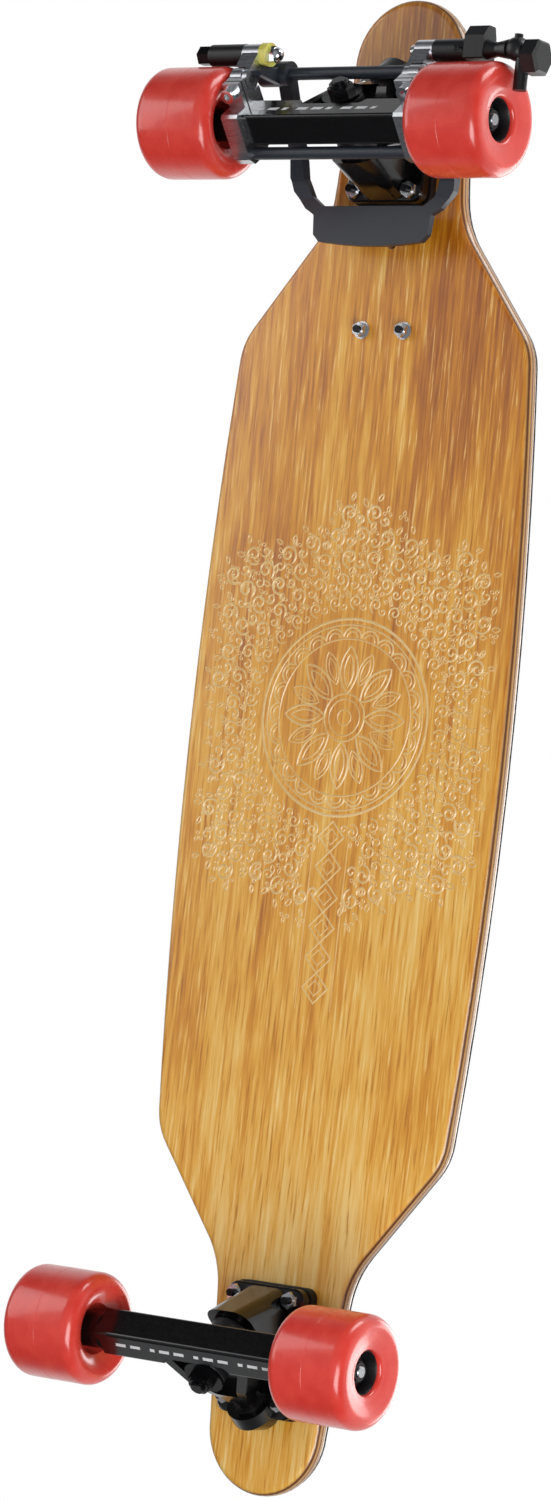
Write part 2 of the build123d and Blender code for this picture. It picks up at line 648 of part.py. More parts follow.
belly_there = cambered(belly_height, hinge_bolt_x)
hinge_bolts = []
hinge_nuts = []
hinge_washers = []
for side in (-1, 1):
    y = side * hinge_bolt_half
    bolt = bar((hinge_bolt_x, y, belly_there - 8), (hinge_bolt_x, y, leaf_top - 1), hinge_bolt_radius)
    bolt += cone((hinge_bolt_x, y, leaf_top - 2.7), (hinge_bolt_x, y, leaf_top - 0.1), hinge_bolt_radius, 4.7)
    hinge_bolts.append(bolt - hexagon((hinge_bolt_x, y, leaf_top - 1.8), (hinge_bolt_x, y, leaf_top + 1), 3.0))
    hinge_washers.append(tube((hinge_bolt_x, y, belly_there - 1.3), (hinge_bolt_x, y, belly_there - 0.3), 5.6,
                              hinge_bolt_radius))
    nut = hexagon((hinge_bolt_x, y, belly_there - 5.6), (hinge_bolt_x, y, belly_there - 1.3), 8.0)
    nut += bar((hinge_bolt_x, y, belly_there - 6.6), (hinge_bolt_x, y, belly_there - 5), 3.5)
    hinge_nuts.append(nut - bar((hinge_bolt_x, y, 90), (hinge_bolt_x, y, 140), hinge_bolt_radius))
save("pedal_bolts", *hinge_bolts)
save("pedal_nuts", *hinge_nuts)
save("pedal_washers", *hinge_washers)

pedal = block(8 - pedal_length, 2, -pedal_half_width, pedal_half_width, -pedal_low, pedal_thickness - pedal_low)
pedal = fillet(pedal.edges().filter_by(Axis.Z), 9)
for side in (-1, 1):
    y0, y1 = sorted((side * (ear_outer - 4.5), side * 60))
    pedal -= block(-11, 20, y0, y1, -20, 20)
pedal += across(0, 0, 4.5 - ear_outer, ear_outer - 4.5, hinge_pin_radius + 2.4)
for k in range(5):
    x = 20 + k * 12 - pedal_length
    rib = block(x - 2, x + 2, 8 - pedal_half_width, pedal_half_width - 8, pedal_thickness - pedal_low - 0.5,
                pedal_thickness - pedal_low + 1.4)
    pedal += fillet(rib.edges().filter_by(Axis.Z), 1.9)
pedal -= across(0, 0, -60, 60, hinge_pin_radius + running_fit)
save("foot_pedal", Pos(hinge_x, 0, hinge_z) * Rot(0, pedal_tilt, 0) * pedal)
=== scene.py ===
import bpy
import json
import math
from mathutils import Matrix, Vector


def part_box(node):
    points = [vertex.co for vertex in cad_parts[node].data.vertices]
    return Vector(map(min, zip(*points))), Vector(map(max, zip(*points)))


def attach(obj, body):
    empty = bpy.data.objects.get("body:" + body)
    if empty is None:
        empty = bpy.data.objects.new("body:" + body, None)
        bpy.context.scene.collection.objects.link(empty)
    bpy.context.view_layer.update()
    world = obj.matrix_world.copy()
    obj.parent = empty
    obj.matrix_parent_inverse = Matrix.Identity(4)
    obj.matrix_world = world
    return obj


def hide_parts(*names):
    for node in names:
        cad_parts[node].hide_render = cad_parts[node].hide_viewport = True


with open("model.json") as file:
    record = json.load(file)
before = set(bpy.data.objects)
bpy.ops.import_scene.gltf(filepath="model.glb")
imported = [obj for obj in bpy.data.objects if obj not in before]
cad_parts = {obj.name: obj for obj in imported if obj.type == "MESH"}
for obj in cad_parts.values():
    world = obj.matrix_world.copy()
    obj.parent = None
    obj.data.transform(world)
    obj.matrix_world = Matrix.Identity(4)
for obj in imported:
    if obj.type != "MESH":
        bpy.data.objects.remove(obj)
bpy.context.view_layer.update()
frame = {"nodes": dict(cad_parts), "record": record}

nodes = frame["nodes"]
mm = 0.001


# colours and nodes
def linear(hexColour):
    # sRGB hex to linear RGBA
    parts = [int(hexColour[i:i + 2], 16) / 255 for i in (1, 3, 5)]
    return tuple(p / 12.92 if p <= 0.04045 else ((p + 0.055) / 1.055) ** 2.4 for p in parts) + (1.0,)


def addNode(tree, kind, settings=None, links=None):
    node = tree.nodes.new(kind)
    for key, value in (settings or {}).items():
        if isinstance(key, str) and hasattr(node, key):
            setattr(node, key, value)
        else:
            node.inputs[key].default_value = value
    for key, (source, output) in (links or {}).items():
        tree.links.new(source.outputs[output], node.inputs[key])
    return node


def newMaterial(name):
    material = bpy.data.materials.new(name)
    material.use_nodes = True
    tree = material.node_tree
    tree.nodes.clear()
    shader = addNode(tree, "ShaderNodeBsdfPrincipled")
    addNode(tree, "ShaderNodeOutputMaterial", None, {"Surface": (shader, "BSDF")})
    return material, tree, shader


def ramp(tree, stops, source, output):
    node = addNode(tree, "ShaderNodeValToRGB", None, {"Fac": (source, output)})
    elements = node.color_ramp.elements
    while len(elements) < len(stops):
        elements.new(0.5)
    for element, (position, colour) in zip(elements, stops):
        element.position = position
        element.color = linear(colour)
    return node


def finish(name, look):
    # one surface: two tones mottled by grain, roughness and a fine bump from the same grain
    material, tree, shader = newMaterial(name)
    place = addNode(tree, "ShaderNodeTexCoord")
    stretch = look.get("stretch", (1, 1, 1))
    size = 1 / (look["grain"] * mm)
    mapping = addNode(tree, "ShaderNodeMapping", {"Scale": tuple(size * s for s in stretch)},
                      {"Vector": (place, "Object")})
    grain = addNode(tree, "ShaderNodeTexNoise", {"Scale": 1.0, "Detail": look.get("detail", 4.0), "Roughness": 0.6},
                    {"Vector": (mapping, "Vector")})
    broad = addNode(tree, "ShaderNodeTexNoise", {"Scale": 22.0, "Detail": 2.0}, {"Vector": (place, "Object")})
    both = addNode(tree, "ShaderNodeMath", {"operation": "MULTIPLY_ADD", 1: 0.6, 2: 0.0},
                   {0: (grain, "Fac")})
    tone = addNode(tree, "ShaderNodeMath", {"operation": "MULTIPLY_ADD", 1: 0.4}, {0: (broad, "Fac"), 2: (both, 0)})
    colour = ramp(tree, [(0.35, look["dark"]), (0.65, look["light"])], tone, 0)
    tree.links.new(colour.outputs["Color"], shader.inputs["Base Color"])
    rough = addNode(tree, "ShaderNodeMapRange", {"From Min": 0.3, "From Max": 0.7, "To Min": look["rough"][0],
                                                 "To Max": look["rough"][1]}, {"Value": (grain, "Fac")})
    tree.links.new(rough.outputs["Result"], shader.inputs["Roughness"])
    bump = addNode(tree, "ShaderNodeBump", {"Strength": look.get("bump", 0.1), "Distance": look["grain"] * mm * 0.3},
                   {"Height": (grain, "Fac")})
    tree.links.new(bump.outputs["Normal"], shader.inputs["Normal"])
    for socket, value in look.get("sockets", {}).items():
        shader.inputs[socket].default_value = value
    return material


def varnishedVeneer(name, look):
    # ash-like veneer under gloss varnish: long pale and amber flecks along the board, dark plies on its edge
    material, tree, shader = newMaterial(name)
    place = addNode(tree, "ShaderNodeTexCoord")
    fleck = look["fleck"]
    along = 1 / (fleck["length"] * mm)
    across = 1 / (fleck["width"] * mm)
    layers = []
    for factor, detail in ((1.0, 3.0), (0.42, 4.0), (0.14, 2.0)):
        mapping = addNode(tree, "ShaderNodeMapping", {"Scale": (along * factor, across * factor, across * 0.2),
                                                      "Rotation": (0, 0, math.radians(look["grainTurn"]))},
                          {"Vector": (place, "Object")})
        layers.append(addNode(tree, "ShaderNodeTexNoise", {"Scale": 1.0, "Detail": detail, "Roughness": 0.55,
                                                           "Distortion": 0.25}, {"Vector": (mapping, "Vector")}))
    cloudPlace = addNode(tree, "ShaderNodeMapping", {"Scale": (5.0, 11.0, 1.0)}, {"Vector": (place, "Object")})
    cloud = addNode(tree, "ShaderNodeTexNoise", {"Scale": 1.0, "Detail": 2.0, "Distortion": 0.6},
                    {"Vector": (cloudPlace, "Vector")})
    split = addNode(tree, "ShaderNodeSeparateXYZ", None, {"Vector": (place, "Object")})
    # painted shade: the veneer tone drops towards the rear end (-X) and lifts towards the nose, a light fall-off baked
    # into the colour
    paintedShade = addNode(tree, "ShaderNodeMapRange", {"From Min": -0.47, "From Max": 0.30, "To Min": -0.10, "To Max": 0.05},
                    {"Value": (split, "X")})
    total = addNode(tree, "ShaderNodeMath", {"operation": "MULTIPLY", 1: 0.30}, {0: (layers[0], "Fac")})
    for layer, share in ((layers[1], 0.30), (layers[2], 0.22), (cloud, 0.24)):
        total = addNode(tree, "ShaderNodeMath", {"operation": "MULTIPLY_ADD", 1: share}, {0: (layer, "Fac"), 2: (total, 0)})
    total = addNode(tree, "ShaderNodeMath", {"operation": "ADD"}, {0: (total, 0), 1: (paintedShade, "Result")})
    belly = ramp(tree, look["veneer"], total, 0)
    # thin pale flecks where the fine grain peaks
    peak = addNode(tree, "ShaderNodeMapRange", {"From Min": 0.60, "From Max": 0.70, "To Max": 0.55},
                   {"Value": (layers[0], "Fac")})
    flecked = addNode(tree, "ShaderNodeMix", {"data_type": "RGBA", "blend_type": "MIX", 7: linear(look["fleckPale"])},
                      {0: (peak, "Result"), 6: (belly, "Color")})
    pit = addNode(tree, "ShaderNodeMapRange", {"From Min": 0.40, "From Max": 0.30, "To Max": 0.5},
                  {"Value": (layers[0], "Fac")})
    veneer = addNode(tree, "ShaderNodeMix", {"data_type": "RGBA", 7: linear(look["fleckDark"])},
                     {0: (pit, "Result"), 6: (flecked, 2)})
    # plies: height above the arched belly, one ply each 1.4 mm
    square = addNode(tree, "ShaderNodeMath", {"operation": "MULTIPLY"}, {0: (split, "X"), 1: (split, "X")})
    flat = addNode(tree, "ShaderNodeMath", {"operation": "MULTIPLY_ADD", 1: 1 / (2 * look["arch"])},
                   {0: (square, 0), 2: (split, "Z")})
    wave = addNode(tree, "ShaderNodeMath", {"operation": "MULTIPLY", 1: 1 / (look["ply"] * mm)}, {0: (flat, 0)})
    saw = addNode(tree, "ShaderNodeMath", {"operation": "PINGPONG", 1: 1.0}, {0: (wave, 0)})
    plies = ramp(tree, look["plies"], saw, 0)
    facing = addNode(tree, "ShaderNodeNewGeometry")
    normal = addNode(tree, "ShaderNodeSeparateXYZ", None, {"Vector": (facing, "Normal")})
    tilt = addNode(tree, "ShaderNodeMath", {"operation": "ABSOLUTE"}, {0: (normal, "Z")})
    edge = addNode(tree, "ShaderNodeMapRange", {"From Min": 0.90, "From Max": 0.72}, {"Value": (tilt, 0)})
    colour = addNode(tree, "ShaderNodeMix", {"data_type": "RGBA"},
                     {0: (edge, "Result"), 6: (veneer, 2), 7: (plies, "Color")})
    tree.links.new(colour.outputs[2], shader.inputs["Base Color"])
    rough = addNode(tree, "ShaderNodeMapRange", {"From Min": 0.3, "From Max": 0.7, "To Min": 0.34, "To Max": 0.5},
                    {"Value": (layers[1], "Fac")})
    tree.links.new(rough.outputs["Result"], shader.inputs["Roughness"])
    bump = addNode(tree, "ShaderNodeBump", {"Strength": 0.12, "Distance": 0.0002}, {"Height": (layers[0], "Fac")})
    tree.links.new(bump.outputs["Normal"], shader.inputs["Normal"])
    shader.inputs["Coat Weight"].default_value = 0.7
    shader.inputs["Coat Roughness"].default_value = 0.12
    shader.inputs["Coat IOR"].default_value = 1.5
    return material


veneerLook = {
    "fleck": {"length": 34.0, "width": 1.7},  # mm
    "grainTurn": 0.0,
    "veneer": [(0.34, "#9A5208"), (0.43, "#C07410"), (0.50, "#D9921F"), (0.57, "#EAAF42"), (0.68, "#F6CF7A")],
    "fleckPale": "#FBDD94",
    "fleckDark": "#9C560C",
    "arch": 14.5,  # m
    "ply": 1.4,  # mm
    "plies": [(0.0, "#5A3413"), (0.35, "#7A4A1C"), (0.6, "#B98644"), (1.0, "#C7975A")],
}
looks = {
    # cast aluminium, gloss powder coat: deep black with a faint orange peel
    "black_powder_coat": {"dark": "#040405", "light": "#0A0A0B", "grain": 2.4, "rough": (0.16, 0.24), "bump": 0.03,
                          "sockets": {"Coat Weight": 0.2, "Coat Roughness": 0.08}},
    # cast polyurethane, poured and turned: even coral red, wet shine
    "cast_urethane": {"dark": "#DA3A30", "light": "#E5463A", "grain": 12.0, "detail": 1.0, "rough": (0.24, 0.3),
                      "bump": 0.01, "sockets": {"Coat Weight": 0.4, "Coat Roughness": 0.1}},
    # bushing urethane, moulded black
    "bushing_urethane": {"dark": "#121214", "light": "#1D1D20", "grain": 0.8, "rough": (0.4, 0.5)},
    # ground bearing steel
    "bearing_steel": {"dark": "#8C8F93", "light": "#B4B7BB", "grain": 0.5, "rough": (0.22, 0.36), "stretch": (1, 0.1, 1),
                      "sockets": {"Metallic": 1.0}},
    # bright zinc and chrome plate
    "chrome_plate": {"dark": "#C9CCD0", "light": "#E4E6E8", "grain": 0.7, "rough": (0.1, 0.2), "bump": 0.04,
                     "sockets": {"Metallic": 1.0}},
    # black oxide steel
    "black_oxide": {"dark": "#0A0A0C", "light": "#18181B", "grain": 0.8, "rough": (0.2, 0.3),
                    "sockets": {"Metallic": 0.6}},
    # milled aluminium billet: fine cutter lines
    "milled_aluminium": {"dark": "#B9BCC1", "light": "#DEE0E3", "grain": 0.9, "stretch": (3.0, 0.06, 0.5),
                         "rough": (0.22, 0.38), "bump": 0.16, "sockets": {"Metallic": 1.0}},
    # steel under satin slate powder coat
    "slate_powder_coat": {"dark": "#20252D", "light": "#2C323B", "grain": 0.5, "rough": (0.36, 0.5), "bump": 0.16,
                          "sockets": {"Coat Weight": 0.1, "Coat Roughness": 0.3}},
    # glass filled nylon, moulded black
    "black_nylon": {"dark": "#08090B", "light": "#121316", "grain": 0.9, "rough": (0.34, 0.46), "bump": 0.12},
    # natural nylon, slightly yellow and waxy
    "natural_nylon": {"dark": "#CFC75A", "light": "#E4DC7C", "grain": 1.5, "rough": (0.25, 0.35),
                      "sockets": {"Subsurface Weight": 0.4, "Subsurface Scale": 0.002}},
    # moulded rubber, bearing seals and risers
    "black_rubber": {"dark": "#0B0B0C", "light": "#161618", "grain": 0.6, "rough": (0.5, 0.65), "bump": 0.1},
    # silicon carbide grit on cloth, grit drawn at 1 mm so that it shows
    "grip_grit": {"dark": "#050506", "light": "#2E2E31", "grain": 1.0, "detail": 8.0, "rough": (0.6, 0.95),
                  "bump": 0.9},
    # laser cut line in the veneer, sealed pale
    "engraved_line": {"dark": "#E3B76C", "light": "#F5D9A0", "grain": 1.2, "rough": (0.3, 0.4), "bump": 0.05,
                      "sockets": {"Coat Weight": 0.5, "Coat Roughness": 0.2}},
    # screen printed white dashes
    "screen_print": {"dark": "#D9DADC", "light": "#EDEDEE", "grain": 0.8, "rough": (0.4, 0.5), "bump": 0.05},
}
materials = {name: finish(name, look) for name, look in looks.items()}
materials["varnished_veneer"] = varnishedVeneer("varnished_veneer", veneerLook)
slotMaterials = {
    "deck_wood": "varnished_veneer", "grip": "grip_grit", "riser_rubber": "black_rubber",
    "truck_black": "black_powder_coat", "wheel_urethane": "cast_urethane", "bushing_urethane": "bushing_urethane",
    "bearing_steel": "bearing_steel", "fastener_chrome": "chrome_plate", "bolt_black": "black_oxide",
    "bracket_aluminium": "milled_aluminium", "lever_charcoal": "slate_powder_coat", "brake_black": "black_nylon",
    "nylon_yellow": "natural_nylon", "pivot_plastic": "black_nylon",
}
slotOf = {part["node"]: part["material_slot"] for part in frame["record"]["subparts"]}
special = {"front_axle_nuts": "black_oxide", "rear_axle_nuts": "black_oxide", "kingpin_nuts": "black_oxide",
           "kingpins": "black_oxide", "bushing_washers": "black_oxide", "clamp_screws": "chrome_plate",
           "eye_bolts": "black_oxide"}
for name, piece in nodes.items():
    piece.data.materials.clear()
    piece.data.materials.append(materials[special.get(name, slotMaterials[slotOf[name]])])
print("materials on", len(nodes), "nodes")


# meshes
def addPiece(name, vertices, faces, material, body, slot, smooth=40.0):
    mesh = bpy.data.meshes.new(name)
    mesh.from_pydata(vertices, [], faces)
    mesh.materials.append(materials[material])
    piece = bpy.data.objects.new(name, mesh)
    bpy.context.scene.collection.objects.link(piece)
    mesh.shade_smooth()
    mesh.set_sharp_from_angle(angle=math.radians(smooth))
    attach(piece, body)
    return piece


def lathe(profile, centre, side, segments=96):
    # closed ring turned about Y: profile points are (radius, offset outwards)
    vertices, faces = [], []
    count = len(profile)
    for i in range(segments):
        a = 2 * math.pi * i / segments
        for radius, offset in profile:
            vertices.append(centre + Vector((radius * math.cos(a), side * offset, radius * math.sin(a))))
    for i in range(segments):
        j = (i + 1) % segments
        for k in range(count):
            n = (k + 1) % count
            face = (i * count + k, i * count + n, j * count + n, j * count + k)
            faces.append(face if side > 0 else face[::-1])
    return vertices, faces


def arc(centre, radius, start, end, steps):
    points = []
    for i in range(steps + 1):
        a = math.radians(start + (end - start) * i / steps)
        points.append((centre[0] + radius * math.cos(a), centre[1] + radius * math.sin(a)))
    return points


# wheels: tread with a faint moulding line, round lips, dished face and stepped hub
wheelSizes = {"radius": 35.0, "half": 27.5, "lip": 8.0, "mouth": 13.5, "bearing": 11.0, "reach": 12.0, "seat": 5.0,
              "shoulder": 8.6, "mouthRound": 2.4}
wheelFace = ((25.0, 0.35), (22.5, 0.8), (20.0, 1.3), (18.0, 1.9))  # radius, depth below the wheel's side
sealSizes = {"outer": 9.7, "inner": 6.5, "proud": 0.15, "low": 0.06, "base": 0.02, "groove": (8.4, 8.1, 7.7, 7.4)}
# painted shade: a thin black skin over the wall of the hub mouth, as (radius, depth) pairs, stands for the shade
# inside the hub recess
hubShadeSkin = ((13.45, 21.9), (12.9, 22.0), (12.4, 21.2), (11.6, 12.5), (11.1, 12.1), (12.5, 12.1))
wheelBodies = [(end, hand) for end in ("front", "rear") for hand in ("left", "right")]
for end, hand in wheelBodies:
    s = wheelSizes
    low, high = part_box(f"{end}_{hand}_wheel")
    centre = (Vector(low) + Vector(high)) / 2
    side = 1 if centre.y > 0 else -1
    face = s["radius"] - s["lip"]
    flat = s["half"] - s["lip"]
    profile = [(s["radius"], -flat), (s["radius"], -0.25), (s["radius"] - 0.1, -0.1), (s["radius"] - 0.1, 0.1),
               (s["radius"], 0.25)]
    profile += arc((face, flat), s["lip"], 0, 90, 10)
    profile += [(radius, s["half"] - depth) for radius, depth in wheelFace]
    profile += arc((s["mouth"] + s["mouthRound"], s["half"] - 5.0), s["mouthRound"], 90, 180, 6)
    profile += [(s["bearing"] + 1.6, s["reach"]), (s["bearing"], s["reach"]), (s["bearing"], s["seat"]),
                (s["shoulder"], s["seat"]), (s["shoulder"], -s["seat"]), (s["bearing"], -s["seat"]),
                (s["bearing"], -s["reach"]), (s["bearing"] + 2.2, -s["reach"]), (16.0, 6 - s["half"]),
                (22.0, 1 - s["half"])]
    profile += arc((face, -flat), s["lip"], -90, 0, 10)[:-1]
    profile = [(r * mm, t * mm) for r, t in profile]
    body = f"{end}_{hand}_roller"
    wheel = addPiece(f"{end}_{hand}_cast_wheel", *lathe(profile, centre, side), "cast_urethane", body,
                     "wheel_urethane", 30.0)
    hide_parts(f"{end}_{hand}_wheel")
    for place, way in (("outer", 1), ("inner", -1)):
        start = way * s["reach"]
        base, low, proud = (start + way * sealSizes[key] for key in ("base", "low", "proud"))
        rim, floorOut, floorIn, lip = sealSizes["groove"]
        ring = [(sealSizes["inner"], base), (sealSizes["outer"], base), (sealSizes["outer"] - 0.3, proud),
                (rim, proud), (floorOut, low), (floorIn, low), (lip, proud), (sealSizes["inner"] + 0.2, proud)]
        ring = [(r * mm, t * mm) for r, t in ring]
        if way > 0:
            ring = ring[::-1]
        addPiece(f"{end}_{hand}_{place}_seal", *lathe(ring[::-1], centre, side, 64), "black_rubber", body,
                 "brake_black")
    # painted shade: the black skin darkens the hub recess where shade falls
    hub = [(r * mm, t * mm) for r, t in hubShadeSkin]
    addPiece(f"{end}_{hand}_hub_lining", *lathe(hub, centre, side, 72), "black_nylon", body, "brake_black")
print("wheels, hub shade_skins and bearing seals done")


# ornament cut in the belly: all lines are three-sided ribs laid on the arched wood
belly = {"height": 118.5, "arch": 14500.0, "sink": 0.1}
ornament = {"x": -16.5, "circle": 62.0, "line": 1.7, "rise": 0.55, "outer": 147.0, "edge": 112.0, "columnHalf": 15.0,
            "lobes": 8, "lobeShare": 0.06, "plainRise": 0.5}
scrollRings = [(73, 30, 0.85), (87, 32, 1.0), (101, 34, 1.12), (115, 38, 1.15), (129, 42, 1.15), (141, 46, 1.0)]
budRings = [(78, 44, 2), (91, 50, 5), (104, 56, 1), (118, 62, 4), (131, 66, 2)]  # radius, count, turn in degrees
column = {"start": 75, "step": 19, "count": 6, "railAt": 13.2, "railFrom": 66, "railTo": 184}


def rib(points, width, rise, closed=False):
    # three-sided rib along a flat path, heights measured down from the wood
    vertices, faces = [], []
    count = len(points)
    for i, (x, y) in enumerate(points):
        before = points[(i - 1) % count] if closed or i > 0 else points[i]
        after = points[(i + 1) % count] if closed or i < count - 1 else points[i]
        dx, dy = after[0] - before[0], after[1] - before[1]
        length = math.hypot(dx, dy) or 1.0
        nx, ny = -dy / length * width / 2, dx / length * width / 2
        taper = 1.0 if closed or 0 < i < count - 1 else 0.35
        vertices += [(x + nx * taper, y + ny * taper, -belly["sink"]), (x, y, rise * taper),
                     (x - nx * taper, y - ny * taper, -belly["sink"])]
    for i in range(count if closed else count - 1):
        a, b = i * 3, ((i + 1) % count) * 3
        for k in range(3):
            n = (k + 1) % 3
            faces.append((a + k, a + n, b + n, b + k))
    if not closed:
        end = (count - 1) * 3
        faces += [(2, 1, 0), (end, end + 1, end + 2)]
    return vertices, faces


def joined(parts):
    vertices, faces = [], []
    for partVertices, partFaces in parts:
        start = len(vertices)
        vertices += partVertices
        faces += [tuple(i + start for i in face) for face in partFaces]
    return vertices, faces


def spiral(cx, cy, big, small, start, turns, steps):
    points = []
    for i in range(steps + 1):
        t = i / steps
        r = big + (small - big) * t ** 0.8
        a = math.radians(start) + turns * 2 * math.pi * t
        points.append((cx + r * math.cos(a), cy + r * math.sin(a)))
    return points


def leaf(cx, cy, length, width, turn, steps=8):
    points = []
    for i in range(2 * steps):
        t = i / steps
        along = t if t <= 1 else 2 - t
        side = 1 if t <= 1 else -1
        x, y = along * length, side * width / 2 * math.sin(math.pi * along) ** 0.8
        a = math.radians(turn)
        points.append((cx + x * math.cos(a) - y * math.sin(a), cy + x * math.sin(a) + y * math.cos(a)))
    return points


def motifMesh(name, parts):
    vertices, faces = joined(parts)
    mesh = bpy.data.meshes.new(name)
    mesh.from_pydata(vertices, [], faces)
    motif = bpy.data.objects.new(name, mesh)
    bpy.context.scene.collection.objects.link(motif)
    return motif, len(vertices)


def scrollMotif(name, hand):
    w, h = ornament["line"], ornament["rise"]
    parts = [rib(spiral(0, 0, 6.2, 0.9, -90, hand * 1.45, 26), w, h)]
    parts.append(rib(spiral(hand * -7.2, -3.4, 3.6, 0.8, 20 if hand > 0 else 160, -hand * 1.1, 14), w * 0.9, h))
    parts.append(rib(leaf(hand * 5.6, 3.2, 5.2, 2.6, 90 - hand * 35), w * 0.7, h, True))
    parts.append(rib(leaf(hand * -1.2, 7.0, 4.6, 2.2, 90 + hand * 30), w * 0.7, h, True))
    return motifMesh(name, parts)


def ringTree():
    # named inputs: the motif, how many, on what radius, what turn and size
    tree = bpy.data.node_groups.new("ring_of_motifs", "GeometryNodeTree")
    interface = tree.interface
    interface.new_socket("Geometry", in_out="INPUT", socket_type="NodeSocketGeometry")
    for label, kind in (("Motif", "NodeSocketObject"), ("Count", "NodeSocketInt"), ("Radius", "NodeSocketFloat"),
                        ("Phase", "NodeSocketFloat"), ("Size", "NodeSocketFloat"), ("Line", "NodeSocketMaterial")):
        interface.new_socket(label, in_out="INPUT", socket_type=kind)
    interface.new_socket("Geometry", in_out="OUTPUT", socket_type="NodeSocketGeometry")
    given = addNode(tree, "NodeGroupInput")
    circle = addNode(tree, "GeometryNodeMeshCircle", None, {"Vertices": (given, "Count"), "Radius": (given, "Radius")})
    place = addNode(tree, "GeometryNodeInputPosition")
    split = addNode(tree, "ShaderNodeSeparateXYZ", None, {"Vector": (place, "Position")})
    angle = addNode(tree, "ShaderNodeMath", {"operation": "ARCTAN2"}, {0: (split, "Y"), 1: (split, "X")})
    turned = addNode(tree, "ShaderNodeMath", {"operation": "SUBTRACT", 1: math.pi / 2}, {0: (angle, 0)})
    turn = addNode(tree, "ShaderNodeCombineXYZ", None, {"Z": (turned, 0)})
    motif = addNode(tree, "GeometryNodeObjectInfo", None, {"Object": (given, "Motif")})
    copies = addNode(tree, "GeometryNodeInstanceOnPoints", None,
                     {"Points": (circle, "Mesh"), "Instance": (motif, "Geometry"), "Rotation": (turn, "Vector"),
                      "Scale": (given, "Size")})
    phase = addNode(tree, "ShaderNodeCombineXYZ", None, {"Z": (given, "Phase")})
    swung = addNode(tree, "GeometryNodeTransform", None,
                    {"Geometry": (copies, "Instances"), "Rotation": (phase, "Vector")})
    real = addNode(tree, "GeometryNodeRealizeInstances", None, {"Geometry": (swung, "Geometry")})
    painted = addNode(tree, "GeometryNodeSetMaterial", None,
                      {"Geometry": (real, "Geometry"), "Material": (given, "Line")})
    addNode(tree, "NodeGroupOutput", None, {"Geometry": (painted, "Geometry")})
    return tree


ringOfMotifs = ringTree()
ringInputs = {item.name: item.identifier for item in ringOfMotifs.interface.items_tree
              if item.item_type == "SOCKET" and item.in_out == "INPUT"}


def bakedRing(motif, count, radius, phase, size):
    carrier = bpy.data.objects.new("carrier", bpy.data.meshes.new("carrier"))
    bpy.context.scene.collection.objects.link(carrier)
    modifier = carrier.modifiers.new("ring", "NODES")
    modifier.node_group = ringOfMotifs
    for label, value in (("Motif", motif), ("Count", count), ("Radius", radius), ("Phase", math.radians(phase)),
                         ("Size", size), ("Line", materials["engraved_line"])):
        modifier[ringInputs[label]] = value
    view = bpy.context.evaluated_depsgraph_get()
    mesh = bpy.data.meshes.new_from_object(carrier.evaluated_get(view))
    vertices = [tuple(v.co) for v in mesh.vertices]
    faces = [tuple(p.vertices) for p in mesh.polygons]
    carrier.modifiers.remove(modifier)
    bpy.data.objects.remove(carrier)
    return vertices, faces


def keptMotifs(vertices, faces, size):
    # drops whole motifs that would leave the lobed field, the wood or enter the column
    kept = set()
    for start in range(0, len(vertices), size):
        chunk = vertices[start:start + size]
        cx = sum(v[0] for v in chunk) / size
        cy = sum(v[1] for v in chunk) / size
        reach = max(math.hypot(v[0], v[1]) for v in chunk)
        share = ornament["lobeShare"]
        lobe = ornament["outer"] * (1 - share + share * math.cos(ornament["lobes"] * math.atan2(cy, cx)))
        wide = max(abs(v[1]) for v in chunk)
        if reach < lobe and wide < ornament["edge"] and not (cx > 50 and abs(cy) < ornament["columnHalf"]):
            kept.add(start // size)
    keep = [f for f in faces if f[0] // size in kept]
    index, out = {}, []
    for face in keep:
        for i in face:
            if i not in index:
                index[i] = len(out)
                out.append(vertices[i])
    return out, [tuple(index[i] for i in f) for f in keep]


def laidOnBelly(vertices, faces, dx=0.0):
    placed = []
    for x, y, h in vertices:
        x += dx
        placed.append((x * mm, y * mm, (belly["height"] - x * x / (2 * belly["arch"]) - h) * mm))
    return placed, [f[::-1] for f in faces]


field = []
motifs = [scrollMotif("scroll_left", 1), scrollMotif("scroll_right", -1)]
for i, (radius, count, size) in enumerate(scrollRings):
    motif, points = motifs[i % 2]
    vertices, faces = bakedRing(motif, count, radius, 3.0 * i, size)
    field.append(keptMotifs(vertices, faces, points))
budMotif, budPoints = motifMesh("bud", [rib(leaf(0, 0, 4.2, 2.2, 90), 1.1, 0.45, True),
                                        rib(spiral(2.4, -1.6, 2.0, 0.6, 180, -1.1, 10), 1.1, 0.45),
                                        rib(spiral(-2.4, -1.6, 2.0, 0.6, 0, 1.1, 10), 1.1, 0.45)])
for radius, count, phase in budRings:
    vertices, faces = bakedRing(budMotif, count, radius, phase, 0.9)
    field.append(keptMotifs(vertices, faces, budPoints))

# plain eight-petal rosette inside the circle
w, h = ornament["line"], ornament["plainRise"]
petalLong = motifMesh("petal_long", [rib(leaf(0, 0, 30, 13, 90, 14), w, h, True),
                                     rib(leaf(0, 4, 21, 7, 90, 12), w * 0.8, h, True),
                                     rib([(0, 6), (0, 22)], w * 0.7, h)])[0]
petalWide = motifMesh("petal_wide", [rib(arc((0, 0), 7.4, 0, 180, 12), w, h),
                                     rib(arc((0, 0), 4.6, 0, 180, 10), w * 0.8, h)])[0]
centreParts = [bakedRing(petalLong, 8, 15, 0, 1.0), bakedRing(petalLong, 8, 22, 22.5, 0.72),
               bakedRing(petalWide, 24, 50, 0, 0.9)]
for radius, width in ((ornament["circle"], 2.2), (ornament["circle"] - 3.6, 1.3), (15, 1.5), (11.5, 1.2), (5, 1.2),
                      (49.5, 1.3)):
    centreParts.append(rib([(radius * math.cos(a), radius * math.sin(a))
                            for a in [2 * math.pi * i / 96 for i in range(96)]], width, h, True))
